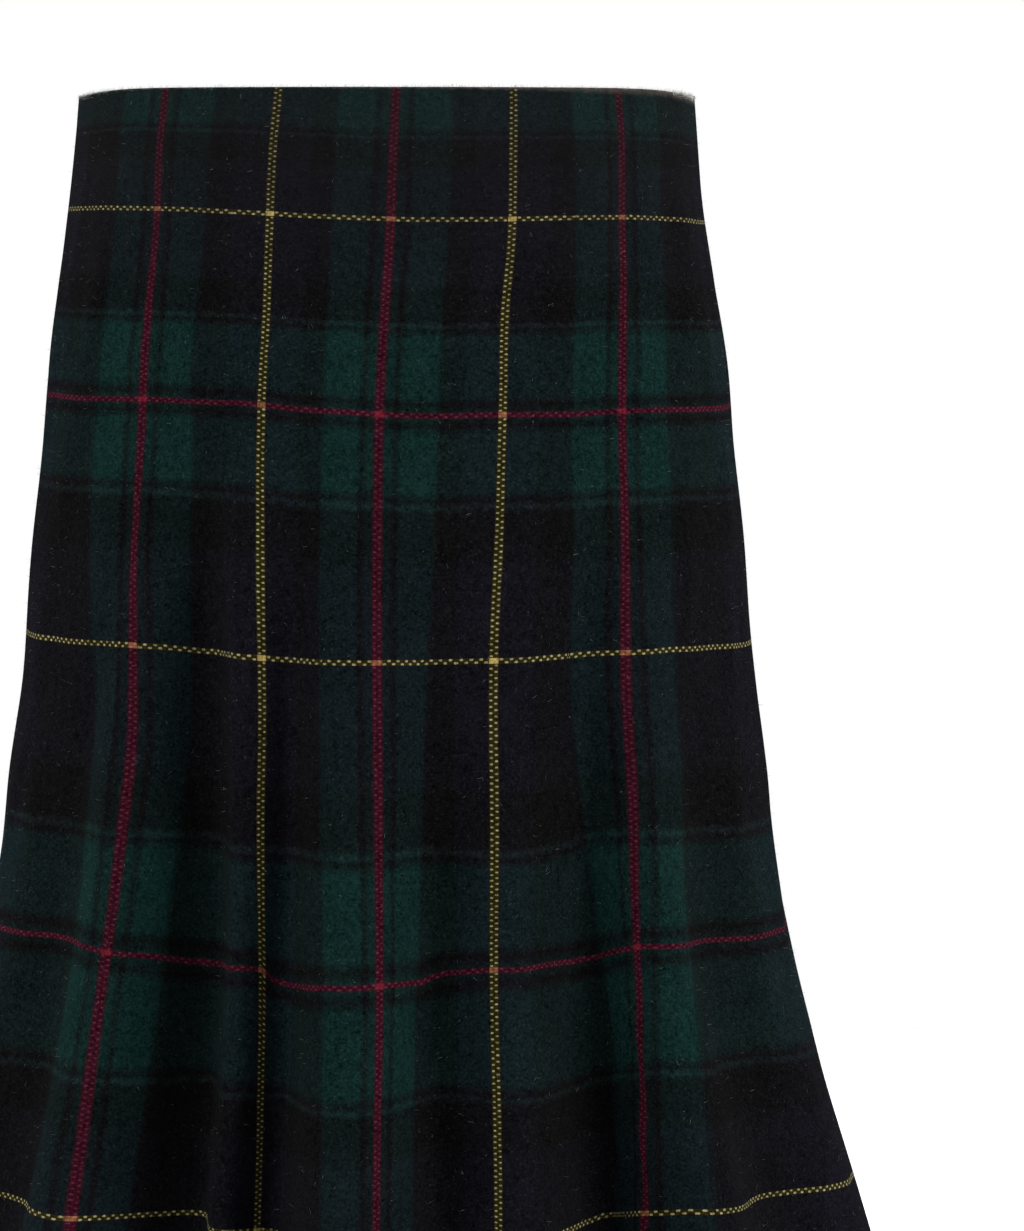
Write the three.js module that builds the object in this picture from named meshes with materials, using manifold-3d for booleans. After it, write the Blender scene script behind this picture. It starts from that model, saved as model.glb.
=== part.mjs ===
import * as THREE from 'three';
import { mergeVertices } from 'three/addons/utils/BufferGeometryUtils.js';
import Module from 'manifold-3d';

// A knee-length flared skirt of tartan wool, standing out in soft folds below the hips, with a
// concealed zip in the centre-back seam. Millimetres, +Z up, the front faces -Y, and the origin is
// in the middle of the waist edge. Turn angles start at the centre front and grow towards +X.

const skirtLength = 600;
const wallThickness = 1.8;
const seamGap = 0.3;
const sideSeamTurn = 90;
const backSeamTurn = 180;
const frontColumns = 90;
const backColumns = 30;
const clothRows = 20;

// The cloth's middle surface without its folds: level sections, each with its distance below the
// waist edge, half its width, and its depth before and behind the side seams
const sections = [
  { down: 0, halfWidth: 138, frontDepth: 93, backDepth: 93 },
  { down: 50, halfWidth: 142, frontDepth: 106, backDepth: 107 },
  { down: 90, halfWidth: 148, frontDepth: 115, backDepth: 119 },
  { down: 125, halfWidth: 153, frontDepth: 121, backDepth: 129 },
  { down: 160, halfWidth: 156, frontDepth: 126, backDepth: 137 },
  { down: 200, halfWidth: 160, frontDepth: 131, backDepth: 144 },
  { down: 270, halfWidth: 166, frontDepth: 139, backDepth: 151 },
  { down: 310, halfWidth: 171.6, frontDepth: 143.5, backDepth: 154 },
  { down: 345, halfWidth: 175.5, frontDepth: 148, backDepth: 157 },
  { down: 400, halfWidth: 185.2, frontDepth: 156, backDepth: 164 },
  { down: 435, halfWidth: 194.2, frontDepth: 162, backDepth: 169 },
  { down: 485, halfWidth: 208, frontDepth: 171, backDepth: 178 },
  { down: 540, halfWidth: 223, frontDepth: 181, backDepth: 188 },
  { down: 600, halfWidth: 238, frontDepth: 192, backDepth: 199 },
];

// The folds: the turn of each crest or trough at the hem, how many degrees it spreads to its left
// and right as seen from outside, how far it stands out at the hem, how far below the waist it
// starts, and how many degrees it drifts on its way down
const folds = [
  { name: 'left side crest', turn: -76, left: 15, right: 15, out: 8, starts: 300, drift: -3 },
  { name: 'left side trough', turn: -58, left: 12, right: 11, out: -14, starts: 240, drift: -4 },
  { name: 'left front crest', turn: -42, left: 11, right: 9, out: 15, starts: 190, drift: -2 },
  { name: 'left front trough', turn: -26.5, left: 13, right: 8, out: -48, starts: 130, drift: 5 },
  { name: 'left inner trough', turn: -15.8, left: 7, right: 7, out: -32, starts: 170, drift: 0 },
  { name: 'middle front crest', turn: -6.5, left: 7, right: 8, out: 18, starts: 200, drift: 1 },
  { name: 'middle front swell', turn: -3, left: 8, right: 9, out: 10, starts: 200, drift: 0 },
  { name: 'middle front trough', turn: 6.5, left: 8, right: 12, out: -28, starts: 150, drift: 0 },
  { name: 'right front trough', turn: 30.5, left: 17, right: 8, out: -48, starts: 200, drift: -3 },
  { name: 'right front crest', turn: 40, left: 6, right: 12, out: 14, starts: 200, drift: 0 },
  { name: 'right side trough', turn: 57, left: 12, right: 12, out: -14, starts: 250, drift: 3 },
  { name: 'right side crest', turn: 77, left: 14, right: 15, out: 6, starts: 300, drift: 3 },
  { name: 'left-hand back trough', turn: 103, left: 12, right: 14, out: -17, starts: 270, drift: 0 },
  { name: 'left-hand back crest', turn: 121, left: 14, right: 13, out: 18, starts: 210, drift: 2 },
  { name: 'left-hand inner trough', turn: 141, left: 14, right: 13, out: -31, starts: 230, drift: 2 },
  { name: 'left-hand inner crest', turn: 159, left: 13, right: 14, out: 17, starts: 220, drift: 1 },
  { name: 'centre back trough', turn: 181, left: 15, right: 14, out: -24, starts: 260, drift: 0 },
  { name: 'right-hand inner crest', turn: 202, left: 14, right: 12, out: 18, starts: 230, drift: -1 },
  { name: 'right-hand inner trough', turn: 220, left: 12, right: 14, out: -29, starts: 210, drift: -2 },
  { name: 'right-hand back crest', turn: 239, left: 14, right: 14, out: 16, starts: 240, drift: -2 },
  { name: 'right-hand back trough', turn: 259, left: 13, right: 12, out: -16, starts: 280, drift: 0 },
];
const foldGrowth = 0.75;

// The waist edge dips a little at the side seams, and the dip fades out below it
const waistDip = 3.6;
const waistDipReach = 120;
const waistDipSharpness = 12;

const tapeThickness = 1;
const tapeInnerEdge = 2.2;
const tapeOuterEdge = 13;
const tapeColumns = 2;
const tapeRows = 6;
const zipLength = skirtLength * tapeRows / clothRows;

const sliderDown = 11;
const sliderPlateWidth = 8.4;
const sliderPlateHeight = 10;
const sliderPlateThickness = 2.2;
const sliderNeckWidth = 2.2;
const sliderNeckHeight = 7;
const notchClearance = 0.35;
const bridgeThickness = 1.4;
const bridgeReach = 4.4;
const bridgeRoot = 1.2;
const bridgeWindowHeight = 3.2;
const bridgeWindowFloor = 1.7;
const bridgeWindowRoof = 3.3;

const pivotReach = 2.5;
const tabThickness = 0.9;
const tabTopWidth = 5;
const tabBottomWidth = 6.4;
const tabLength = 16;
const tabWindowWidth = 2.3;
const tabWindowLength = 4;
const tabCornerSegments = 3;

const wool = new THREE.MeshStandardMaterial({ color: 0x1b1d22, roughness: 0.95, metalness: 0 });
const tape = new THREE.MeshStandardMaterial({ color: 0x17181c, roughness: 0.9, metalness: 0 });
const metal = new THREE.MeshStandardMaterial({ color: 0x2a2a2c, roughness: 0.35, metalness: 1 });

const sectionColumns = ['halfWidth', 'frontDepth', 'backDepth'];
const sectionCurve = new THREE.CubicInterpolant(
  sections.map((row) => row.down),
  sections.flatMap((row) => sectionColumns.map((column) => row[column])),
  sectionColumns.length,
);

// How far the folds stand out from the plain section, in mm
function foldOut(turn, down) {
  let out = 0;
  for (const fold of folds) {
    const part = THREE.MathUtils.clamp((down - fold.starts) / (skirtLength - fold.starts), 0, 1);
    const centre = fold.turn - fold.drift * (1 - part);
    const away = THREE.MathUtils.euclideanModulo(turn - centre + 180, 360) - 180;
    const spread = Math.min(Math.abs(away) / (away < 0 ? fold.left : fold.right), 1);
    out += fold.out * part ** foldGrowth * 0.5 * (1 + Math.cos(Math.PI * spread));
  }
  return out;
}

// A point of the cloth's middle surface
function middlePoint(turn, down) {
  const [halfWidth, frontDepth, backDepth] = sectionCurve.evaluate(down);
  const angle = THREE.MathUtils.degToRad(turn);
  const depth = Math.cos(angle) > 0 ? frontDepth : backDepth;
  const outward = new THREE.Vector3(Math.sin(angle) / halfWidth, -Math.cos(angle) / depth, 0).normalize();
  const dipFade = Math.max(1 - down / waistDipReach, 0) ** 2;
  const dip = waistDip * dipFade * Math.sin(angle) ** waistDipSharpness;
  return new THREE.Vector3(halfWidth * Math.sin(angle), -depth * Math.cos(angle), -down - dip)
    .addScaledVector(outward, foldOut(turn, down));
}

const turnStep = 0.05;
const downStep = 0.5;

// The directions along the cloth at a point: around, down, and out of it
function directions(turn, down) {
  const around = middlePoint(turn + turnStep, down).sub(middlePoint(turn - turnStep, down));
  const low = Math.min(down + downStep, skirtLength);
  const high = Math.max(down - downStep, 0);
  const along = middlePoint(turn, low).sub(middlePoint(turn, high));
  const out = new THREE.Vector3().crossVectors(along, around).normalize();
  return { perDegree: around.length() / (2 * turnStep), along: along.normalize(), out };
}

// A point moved out of the middle surface by lift
function clothPoint(turn, down, lift) {
  return middlePoint(turn, down).addScaledVector(directions(turn, down).out, lift);
}

// The turn that lies a number of millimetres round from a seam at this height
function turnBeside(seamTurn, down, distance) {
  return seamTurn + distance / directions(seamTurn, down).perDegree;
}

// A closed body from rings of points: each ring goes once round the wall, and both ends are
// closed across it
function wallBody(rings) {
  const ringSize = rings[0].length;
  const positions = rings.flat().flatMap((point) => point.toArray());
  const faces = [];
  for (let ring = 0; ring < rings.length - 1; ring += 1) {
    for (let step = 0; step < ringSize; step += 1) {
      const next = (step + 1) % ringSize;
      const [a, b] = [ring * ringSize + step, ring * ringSize + next];
      const [c, d] = [b + ringSize, a + ringSize];
      faces.push(a, b, c, a, c, d);
    }
  }
  const lastRing = (rings.length - 1) * ringSize;
  for (let step = 0; step < ringSize / 2 - 1; step += 1) {
    const [outer, nextOuter] = [step, step + 1];
    const [inner, nextInner] = [ringSize - 1 - step, ringSize - 2 - step];
    faces.push(outer, inner, nextInner, outer, nextInner, nextOuter);
    faces.push(lastRing + outer, lastRing + nextInner, lastRing + inner);
    faces.push(lastRing + outer, lastRing + nextOuter, lastRing + nextInner);
  }
  const geometry = new THREE.BufferGeometry();
  geometry.setAttribute('position', new THREE.Float32BufferAttribute(positions, 3));
  geometry.setIndex(faces);
  return geometry;
}

// A stretch of wall between two edges, each given as a seam's turn and a distance round from it
function clothWall({ from, to, top, bottom, columns, rows, outerLift, innerLift }) {
  const rings = [];
  for (let column = 0; column <= columns; column += 1) {
    const outer = [];
    const inner = [];
    for (let row = 0; row <= rows; row += 1) {
      const down = THREE.MathUtils.lerp(top, bottom, row / rows);
      const start = turnBeside(from.seam, down, from.distance);
      const end = turnBeside(to.seam, down, to.distance);
      const turn = THREE.MathUtils.lerp(start, end, column / columns);
      outer.push(clothPoint(turn, down, outerLift));
      inner.unshift(clothPoint(turn, down, innerLift));
    }
    rings.push([...outer, ...inner]);
  }
  return wallBody(rings);
}

function panel(fromSeam, toSeam, columns) {
  return clothWall({
    from: { seam: fromSeam, distance: seamGap / 2 },
    to: { seam: toSeam, distance: -seamGap / 2 },
    top: 0,
    bottom: skirtLength,
    columns,
    rows: clothRows,
    outerLift: wallThickness / 2,
    innerLift: -wallThickness / 2,
  });
}

// A zip tape lies just inside the panel, on one side of the centre-back seam, and its rows
// are level with the panel's rows
function zipTape(nearEdge, farEdge) {
  const outerLift = -wallThickness / 2 - seamGap;
  return clothWall({
    from: { seam: backSeamTurn, distance: nearEdge },
    to: { seam: backSeamTurn, distance: farEdge },
    top: 0,
    bottom: zipLength,
    columns: tapeColumns,
    rows: tapeRows,
    outerLift,
    innerLift: outerLift - tapeThickness,
  });
}

// The slider's own frame: X across the seam, Y up along it, Z out of the cloth
function sliderFrame() {
  const { along, out } = directions(backSeamTurn, sliderDown);
  const up = along.clone().negate();
  const across = new THREE.Vector3().crossVectors(up, out);
  return new THREE.Matrix4()
    .makeBasis(across, up, out)
    .setPosition(middlePoint(backSeamTurn, sliderDown));
}

const wasm = await Module();
wasm.setup();

// A closed solid that manifold-3d can join and cut
function toSolid(geometry) {
  const bare = geometry.clone();
  bare.deleteAttribute('normal');
  bare.deleteAttribute('uv');
  const merged = mergeVertices(bare);
  return new wasm.Manifold(new wasm.Mesh({
    numProp: 3,
    vertProperties: new Float32Array(merged.attributes.position.array),
    triVerts: new Uint32Array(merged.index.array),
  }));
}

function toGeometry(solid) {
  const { numProp, vertProperties, triVerts } = solid.getMesh();
  const geometry = new THREE.BufferGeometry();
  geometry.setAttribute('position', new THREE.Float32BufferAttribute(vertProperties, numProp));
  geometry.setIndex([...triVerts]);
  return geometry;
}

function block(width, height, depth, x, y, z) {
  return new THREE.BoxGeometry(width, height, depth).translate(x, y, z);
}

// The seam's edges stand apart around the slider's neck
function notch() {
  const width = sliderNeckWidth + 2 * notchClearance;
  const height = sliderNeckHeight + 2 * notchClearance;
  return block(width, height, 4 * wallThickness, 0, 0, 0).applyMatrix4(sliderFrame());
}

// The plate lies behind the tapes, the neck comes out through the seam, and a bridge on it
// leaves a window for the pull tab's bar
function slider() {
  const plateTop = -wallThickness / 2 - tapeThickness - 2 * seamGap;
  const plateMiddle = plateTop - sliderPlateThickness / 2;
  const neckDepth = bridgeRoot - plateMiddle;
  const bridgeDepth = bridgeReach - bridgeRoot;
  const windowDepth = bridgeWindowRoof - bridgeWindowFloor;
  const plate = block(sliderPlateWidth, sliderPlateHeight, sliderPlateThickness, 0, 0, plateMiddle);
  const neck = block(sliderNeckWidth, sliderNeckHeight, neckDepth, 0, 0, plateMiddle + neckDepth / 2);
  const bridge = block(bridgeThickness, sliderNeckHeight, bridgeDepth + seamGap, 0, 0,
    bridgeReach - (bridgeDepth + seamGap) / 2);
  const window = block(2 * bridgeThickness, bridgeWindowHeight, windowDepth, 0, 0,
    bridgeWindowFloor + windowDepth / 2);
  const solid = toSolid(plate).add(toSolid(neck)).add(toSolid(bridge)).subtract(toSolid(window));
  return toGeometry(solid);
}

// A flat tab that hangs from a square bar, with a window that swings clear round the bridge
function pullTab() {
  const bar = tabThickness / 2;
  const outline = new THREE.Shape();
  outline.moveTo(-tabTopWidth / 2, bar);
  outline.lineTo(-tabBottomWidth / 2, -tabLength + tabBottomWidth / 2);
  outline.absarc(0, -tabLength + tabBottomWidth / 2, tabBottomWidth / 2, Math.PI, 2 * Math.PI, false);
  outline.lineTo(tabTopWidth / 2, bar);
  const opening = new THREE.Path();
  opening.moveTo(-tabWindowWidth / 2, -bar);
  opening.lineTo(tabWindowWidth / 2, -bar);
  opening.lineTo(tabWindowWidth / 2, -bar - tabWindowLength);
  opening.lineTo(-tabWindowWidth / 2, -bar - tabWindowLength);
  outline.holes.push(opening);
  return new THREE.ExtrudeGeometry(outline, {
    depth: tabThickness,
    bevelEnabled: false,
    curveSegments: 2 * tabCornerSegments,
  }).translate(0, 0, pivotReach - tabThickness / 2);
}

function named(name, geometry, material) {
  const mesh = new THREE.Mesh(geometry, material);
  mesh.name = name;
  return mesh;
}

const skirt = new THREE.Group();

skirt.add(named('front_panel', panel(-sideSeamTurn, sideSeamTurn, frontColumns), wool));

const backPanels = [
  { name: 'back_left_panel', from: sideSeamTurn, to: backSeamTurn },
  { name: 'back_right_panel', from: backSeamTurn, to: backSeamTurn + sideSeamTurn },
];
for (const { name, from, to } of backPanels) {
  const cut = toSolid(panel(from, to, backColumns)).subtract(toSolid(notch()));
  skirt.add(named(name, toGeometry(cut), wool));
}

skirt.add(named('zip_tape_left', zipTape(-tapeOuterEdge, -tapeInnerEdge), tape));
skirt.add(named('zip_tape_right', zipTape(tapeInnerEdge, tapeOuterEdge), tape));

const zipHead = new THREE.Group();
zipHead.applyMatrix4(sliderFrame());
zipHead.add(named('zip_slider', slider(), metal));
zipHead.add(named('zip_pull_tab', pullTab(), metal));
skirt.add(zipHead);

export default skirt;
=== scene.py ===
import math
import random

import bmesh
import bpy
import numpy
from mathutils import Matrix, Vector


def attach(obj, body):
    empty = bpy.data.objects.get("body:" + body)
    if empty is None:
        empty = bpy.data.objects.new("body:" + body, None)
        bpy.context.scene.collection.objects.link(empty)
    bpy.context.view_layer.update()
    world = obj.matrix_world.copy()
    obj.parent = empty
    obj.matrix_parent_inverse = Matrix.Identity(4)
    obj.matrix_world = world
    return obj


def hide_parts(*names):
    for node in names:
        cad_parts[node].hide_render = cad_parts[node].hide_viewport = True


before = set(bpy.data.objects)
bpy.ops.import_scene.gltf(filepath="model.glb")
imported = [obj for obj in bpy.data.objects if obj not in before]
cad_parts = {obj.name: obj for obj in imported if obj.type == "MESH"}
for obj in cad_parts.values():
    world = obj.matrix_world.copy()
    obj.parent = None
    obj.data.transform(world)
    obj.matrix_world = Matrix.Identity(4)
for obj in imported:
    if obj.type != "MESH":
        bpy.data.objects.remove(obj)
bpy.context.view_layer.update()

mm = 0.001
scene = bpy.context.scene
scene.view_settings.view_transform = "Standard"


# A colour with its alpha
def four(colour):
    return (*colour, 1)


# A wire is one output of a node, so that shader maths reads as plain sums
class Wire:
    def __init__(self, tree, socket=None):
        self.tree = tree
        self.socket = socket

    def node(self, kind, settings=None, inputs=None, output=0):
        made = self.tree.nodes.new(kind)
        for name, value in (settings or {}).items():
            if name == "stops":
                ramp = made.color_ramp
                for place, colour in value[1:]:
                    ramp.elements.new(place).color = four(colour)
                ramp.elements[0].position = value[0][0]
                ramp.elements[0].color = four(value[0][1])
                ramp.elements.remove(ramp.elements[-1])
            else:
                setattr(made, name, value)
        for place, value in (inputs or {}).items():
            if isinstance(value, Wire):
                self.tree.links.new(value.socket, made.inputs[place])
            else:
                made.inputs[place].default_value = value
        return Wire(self.tree, made.outputs[output])

    def maths(self, operation, *values):
        return self.node("ShaderNodeMath", {"operation": operation}, dict(enumerate(values)))

    def __add__(self, other):
        return self.maths("ADD", self, other)

    def __radd__(self, other):
        return self.maths("ADD", other, self)

    def __sub__(self, other):
        return self.maths("SUBTRACT", self, other)

    def __rsub__(self, other):
        return self.maths("SUBTRACT", other, self)

    def __mul__(self, other):
        return self.maths("MULTIPLY", self, other)

    def __rmul__(self, other):
        return self.maths("MULTIPLY", other, self)

    def __abs__(self):
        return self.maths("ABSOLUTE", self)

    def sine(self):
        return self.maths("SINE", self)

    def larger(self, other):
        return self.maths("MAXIMUM", self, other)

    # Runs up to 1 and back to 0, over and over
    def toAndFro(self):
        return self.maths("PINGPONG", self, 1)

    # One axis of a place
    def axis(self, index):
        return self.node("ShaderNodeSeparateXYZ", {}, {0: self}, index)

    # A noise at this place, with its settings by the names of its sockets
    def noise(self, settings, output=0):
        return self.node("ShaderNodeTexNoise", {}, {"Vector": self, **settings}, output)

    # From 0 at low to 1 at high, with soft ends
    def soft(self, low, high):
        return self.node("ShaderNodeMapRange", {"interpolation_type": "SMOOTHSTEP"},
                         {0: self, 1: low, 2: high, 3: 0, 4: 1})

    # This wire is the share of the second colour
    def blend(self, first, second):
        return self.node("ShaderNodeMix", {"data_type": "RGBA"}, {0: self, 6: first, 7: second}, 2)

    # A colour made darker or lighter by this number
    def times(self, colour):
        grey = self.node("ShaderNodeCombineXYZ", {}, {0: self, 1: self, 2: self})
        return grey.mixedInto(colour)

    # Two colours multiplied
    def mixedInto(self, colour):
        return self.node("ShaderNodeVectorMath", {"operation": "MULTIPLY"}, {0: colour, 1: self})


def newMaterial(name, roughness, specular, metallic=0.0, sheen=0.0, sheenRoughness=0.5):
    material = bpy.data.materials.new(name)
    material.use_nodes = True
    shader = material.node_tree.nodes["Principled BSDF"]
    shader.inputs["Roughness"].default_value = roughness
    shader.inputs["Specular IOR Level"].default_value = specular
    shader.inputs["Metallic"].default_value = metallic
    shader.inputs["Sheen Weight"].default_value = sheen
    shader.inputs["Sheen Roughness"].default_value = sheenRoughness
    shader.inputs["Sheen Tint"].default_value = (1, 1, 1, 1)
    return material, shader, Wire(material.node_tree)


# The object's own place, which a pattern in the round is made on
def ownPlace(wire):
    return wire.node("ShaderNodeTexCoord", {}, {}, 3)


def feed(wire, shader, place):
    wire.tree.links.new(wire.socket, shader.inputs[place])


def bump(wire, height, strength, distance):
    return wire.node("ShaderNodeBump", {}, {"Height": height, "Strength": strength, "Distance": distance})


# A bmesh made into an object of the scene
def newObject(name, shape):
    mesh = bpy.data.meshes.new(name)
    shape.to_mesh(mesh)
    shape.free()
    piece = bpy.data.objects.new(name, mesh)
    scene.collection.objects.link(piece)
    return piece


def faceOut(shape):
    bmesh.ops.recalc_face_normals(shape, faces=shape.faces[:])


# A wall grown inwards from a sheet
def thicken(piece, name, thickness):
    wall = piece.modifiers.new(name, "SOLIDIFY")
    wall.thickness = thickness * mm
    wall.offset = -1


# The skirt's form, in millimetres and degrees: turn 0 is the centre front and grows towards +X
skirtForm = {
    "length": 600,
    "foldGrowth": 0.75,
    "waistDip": 3.6,            # how far the edge dips at the side seams
    "waistDipReach": 120,
    "waistDipSharpness": 12,
    # distance below the waist edge, half the width, depth of the front, depth of the back
    "sections": [
        (0, 138, 93, 93),
        (50, 142, 106, 107),
        (90, 148, 115, 119),
        (125, 153, 121, 129),
        (160, 156, 126, 137),
        (200, 160, 131, 144),
        (270, 166, 139, 151),
        (310, 171.6, 143.5, 154),
        (345, 175.5, 148, 157),
        (400, 185.2, 156, 164),
        (435, 194.2, 162, 169),
        (485, 208, 171, 178),
        (540, 223, 181, 188),
        (600, 238, 192, 199),
    ],
    # turn at the hem, spread to its left and right, how far it stands out at the hem, the level where
    # it starts, and how far it drifts round on its way down
    "folds": [
        (-76, 15, 15, 8, 300, -3),
        (-58, 12, 11, -14, 240, -4),
        (-42, 11, 9, 15, 190, -2),
        (-26.5, 13, 8, -48, 130, 5),
        (-15.8, 7, 7, -32, 170, 0),
        (-6.5, 7, 8, 18, 200, 1),
        (-3, 8, 9, 10, 200, 0),
        (6.5, 8, 12, -28, 150, 0),
        (30.5, 17, 8, -48, 200, -3),
        (40, 6, 12, 14, 200, 0),
        (57, 12, 12, -14, 250, 3),
        (77, 14, 15, 6, 300, 3),
        (103, 12, 14, -17, 270, 0),
        (121, 14, 13, 18, 210, 2),
        (141, 14, 13, -31, 230, 2),
        (159, 13, 14, 17, 220, 1),
        (181, 15, 14, -24, 260, 0),
        (202, 14, 12, 18, 230, -1),
        (220, 12, 14, -29, 210, -2),
        (239, 14, 14, 16, 240, -2),
        (259, 13, 12, -16, 280, 0),
    ],
    # soft unevenness of hung cloth: height, waves round the skirt, how far they slant on the way down
    "swells": [(0.5, 9, 2.3), (0.4, 14, -3.1), (0.35, 23, 4.2), (0.25, 31, -6.3), (0.2, 44, 8.4)],
    "swellSlant": 0.6,
    "swellBend": 4,
    "swellSeed": 5,
    "swellFade": (60, 0.25),    # they grow from this share at the waist to their whole height here
    "zipCalm": 12,              # degrees to each side of the zip
    "zipCalmEnd": (180, 60),    # the calm ends at this level, and fades over this much
}


# A smooth curve through one column of a table, as its first column grows
def alongTable(rows, column, place):
    steps = numpy.array([row[0] for row in rows], float)
    values = numpy.array([row[column] for row in rows], float)
    after = numpy.clip(numpy.searchsorted(steps, place, side="right"), 1, len(steps) - 1)
    before = after - 1
    first, last = before == 0, after == len(steps) - 1
    start, end = steps[before], steps[after]
    earlier = numpy.where(first, end, steps[before - 1])
    later = numpy.where(last, start, steps[(after + 1) % len(steps)])
    earlierValue = numpy.where(first, values[after], values[before - 1])
    laterValue = numpy.where(last, values[before], values[(after + 1) % len(steps)])
    half = (end - start) / 2
    back, on = half / (start - earlier), half / (later - end)
    part = (place - start) / (end - start)
    square, cube = part ** 2, part ** 3
    return ((-back * cube + 2 * back * square - back * part) * earlierValue
            + ((1 + back) * cube - (1.5 + 2 * back) * square + (back - 0.5) * part + 1) * values[before]
            + (-(1 + on) * cube + (1.5 + on) * square + 0.5 * part) * values[after]
            + (on * cube - on * square) * laterValue)


def foldOut(turn, down):
    out = 0
    for centre, left, right, reach, starts, drift in skirtForm["folds"]:
        part = numpy.clip((down - starts) / (skirtForm["length"] - starts), 0, 1)
        away = (turn - centre + drift * (1 - part) + 180) % 360 - 180
        spread = numpy.minimum(numpy.abs(away) / numpy.where(away < 0, left, right), 1)
        out = out + reach * part ** skirtForm["foldGrowth"] * 0.5 * (1 + numpy.cos(math.pi * spread))
    return out


def swellOut(turn, down):
    form = skirtForm
    source = random.Random(form["swellSeed"])
    out = 0
    for height, wavesRound, slant in form["swells"]:
        phase, wander = source.uniform(0, 6.3), source.uniform(0, 6.3)
        bend = numpy.sin(down / form["length"] * form["swellBend"] + wander)
        wave = numpy.radians(turn) * wavesRound + down / 100 * slant * form["swellSlant"] + phase + bend
        out = out + height * numpy.sin(wave)
    # The zip keeps the cloth beside it straight
    beside = numpy.abs(turn % 360 - 180) / form["zipCalm"] - 0.4
    calmEnd, calmFade = form["zipCalmEnd"]
    calm = numpy.clip(numpy.maximum(beside, (down - calmEnd) / calmFade), 0, 1)
    fullLevel, least = form["swellFade"]
    return out * calm * numpy.clip(down / fullLevel, least, 1)


# A point of the cloth's middle surface
def middlePoint(turn, down):
    sections = skirtForm["sections"]
    halfWidth = alongTable(sections, 1, down)
    angle = numpy.radians(turn)
    depth = numpy.where(numpy.cos(angle) > 0, alongTable(sections, 2, down), alongTable(sections, 3, down))
    outX, outY = numpy.sin(angle) / halfWidth, -numpy.cos(angle) / depth
    size = numpy.hypot(outX, outY)
    out = foldOut(turn, down) + swellOut(turn, down)
    fade = numpy.maximum(1 - down / skirtForm["waistDipReach"], 0) ** 2
    dip = skirtForm["waistDip"] * fade * numpy.sin(angle) ** skirtForm["waistDipSharpness"]
    return numpy.stack([halfWidth * numpy.sin(angle) + outX / size * out,
                        -depth * numpy.cos(angle) + outY / size * out,
                        -down - dip], -1)


def lengthOf(vectors):
    return numpy.linalg.norm(vectors, axis=-1, keepdims=True)


# A point moved out of the middle surface by lift, in millimetres
def clothPoint(turn, down, lift):
    turn, down, lift = numpy.broadcast_arrays(turn, down, lift)
    around = middlePoint(turn + 0.05, down) - middlePoint(turn - 0.05, down)
    along = middlePoint(turn, numpy.minimum(down + 0.5, skirtForm["length"]))
    along = along - middlePoint(turn, numpy.maximum(down - 0.5, 0))
    out = numpy.cross(along, around)
    return middlePoint(turn, down) + out / lengthOf(out) * lift[..., None]


# Millimetres of cloth in one degree of turn
def perDegree(turn, down):
    around = middlePoint(turn + 0.05, down) - middlePoint(turn - 0.05, down)
    return lengthOf(around)[..., 0] / 0.1


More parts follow.
